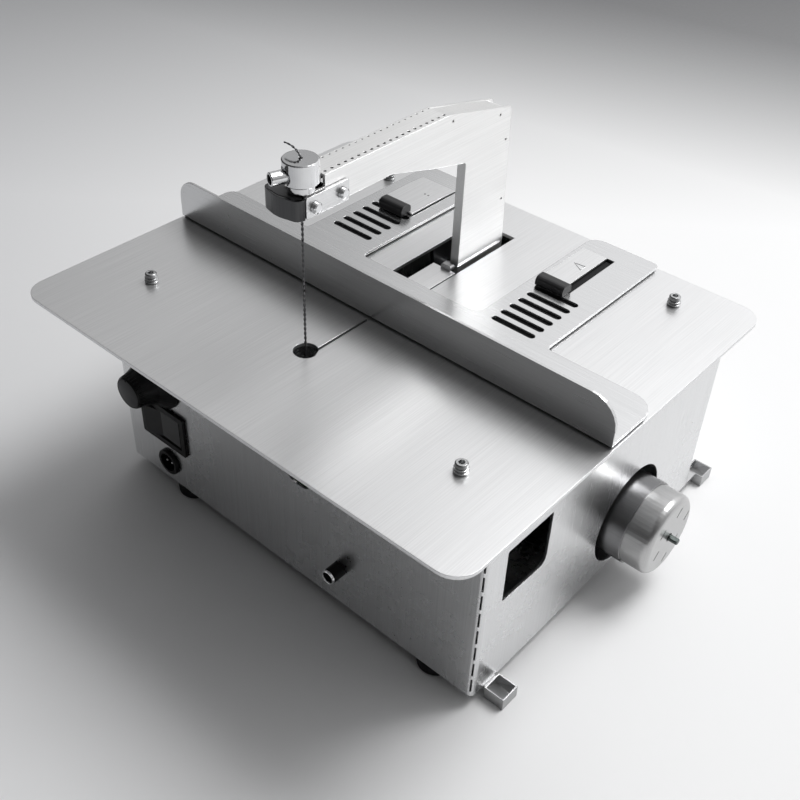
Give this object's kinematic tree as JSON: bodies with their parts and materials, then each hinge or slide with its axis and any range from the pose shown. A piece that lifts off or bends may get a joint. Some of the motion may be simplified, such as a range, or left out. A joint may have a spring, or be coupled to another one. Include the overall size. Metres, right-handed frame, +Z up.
{
  "type": "scroll saw",
  "caption": "Bench scroll saw with a folded sheet housing, flat steel table, sliding fence and a motor-driven rocking C-arm that holds a twisted wire blade upright between chucks.",
  "frame": {"origin": "middle of the bounding box, on the surface the feet stand on", "axes": "+X to the right seen from the front, towards the motor's outer end; +Y from the front wall to the back; +Z up"},
  "size_m": [0.318, 0.2762, 0.2465],
  "materials": {
    "housing_steel": "satin stainless sheet",
    "table_steel": "satin stainless plate",
    "leaf_steel": "satin spring steel",
    "machined_steel": "turned and milled steel",
    "white_sheet": "pale satin sheet",
    "fence_steel": "satin stainless sheet",
    "chrome": "polished",
    "dark_steel": "blackened steel",
    "motor_zinc": "zinc plated drawn can",
    "black_plastic": "moulded, slightly glossy",
    "rubber": "matt",
    "board": "coated circuit board"
  },
  "bodies": {
    "housing": {"housing_wrap": "housing_steel", "rear_panel": "housing_steel", "base_plate": "housing_steel", "table_top": "table_steel", "table_screw_1": "dark_steel", "table_screw_2": "dark_steel", "table_screw_3": "dark_steel", "table_screw_4": "dark_steel", "rail_left": "housing_steel", "rail_right": "housing_steel", "foot_1": "rubber", "foot_2": "rubber", "foot_3": "rubber", "foot_4": "rubber", "outrigger_front": "dark_steel", "outrigger_rear": "dark_steel", "pivot_shaft": "machined_steel", "pivot_bracket_left": "dark_steel", "pivot_bracket_right": "dark_steel", "bearing_block": "dark_steel", "motor_mount": "dark_steel", "motor_face": "motor_zinc", "motor_can": "motor_zinc", "speed_pot": "machined_steel", "switch_body": "black_plastic", "power_inlet": "black_plastic", "fuse_holder": "black_plastic", "speed_board": "board"},
    "arm": {"arm_shell": "white_sheet", "arm_back_strip": "white_sheet", "arm_hub": "machined_steel", "head_plate": "chrome", "head_block": "chrome", "head_screw_1": "chrome", "head_screw_2": "chrome", "upper_chuck": "chrome", "upper_clamp_screw": "chrome", "lower_block": "dark_steel", "lower_chuck": "chrome", "lower_clamp_screw": "dark_steel", "blade": "dark_steel", "drive_pin": "dark_steel"},
    "rod": {"connecting_rod": "machined_steel", "crank_pin": "dark_steel"},
    "crank": {"crank_disc": "machined_steel", "drive_shaft": "machined_steel", "shaft_coupling": "dark_steel", "motor_rotor": "dark_steel"},
    "fence": {"fence": "fence_steel", "fence_liner": "rubber"},
    "leaf_left": {"leaf_left": "leaf_steel", "grip_left": "rubber"},
    "leaf_right": {"leaf_right": "leaf_steel", "grip_right": "rubber"},
    "knob": {"speed_knob": "black_plastic"},
    "rocker": {"switch_rocker": "black_plastic"}
  },
  "joints": [
    {"name": "arm_rock", "type": "hinge", "parent": "housing", "child": "arm", "pos_m": [-0.014, 0.0669, 0.1145], "axis": [1, 0, 0], "range_deg": [-2.7, 2.7]},
    {"name": "rod_swing", "type": "hinge", "parent": "arm", "child": "rod", "pos_m": [-0.021, 0.0338, 0.0785], "axis": [1, 0, 0], "range_deg": [-2.7, 2.7]},
    {"name": "crank_spin", "type": "hinge", "parent": "housing", "child": "crank", "pos_m": [-0.02, 0.0354, 0.0405], "axis": [1, 0, 0], "continuous": true},
    {"name": "fence_slide", "type": "slide", "parent": "housing", "child": "fence", "axis": [0, 1, 0], "range_m": [-0.034, 0.02]},
    {"name": "leaf_left_lift", "type": "hinge", "parent": "fence", "child": "leaf_left", "pos_m": [-0.0735, 0.1059, 0.1397], "axis": [-1, 0, 0], "range_deg": [0, 12]},
    {"name": "leaf_right_lift", "type": "hinge", "parent": "fence", "child": "leaf_right", "pos_m": [0.041, 0.1059, 0.1389], "axis": [-1, 0, 0], "range_deg": [0, 12]},
    {"name": "speed_turn", "type": "hinge", "parent": "housing", "child": "knob", "pos_m": [-0.1047, -0.0976, 0.0845], "axis": [0, 1, 0], "range_deg": [0, 270]},
    {"name": "switch_rock", "type": "hinge", "parent": "housing", "child": "rocker", "pos_m": [-0.1035, -0.0921, 0.051], "axis": [0, 0, -1], "range_deg": [0, 12]}
  ],
  "couplings": [
    {"joint": "rod_swing", "follows": "arm_rock", "ratio": -1}
  ]
}
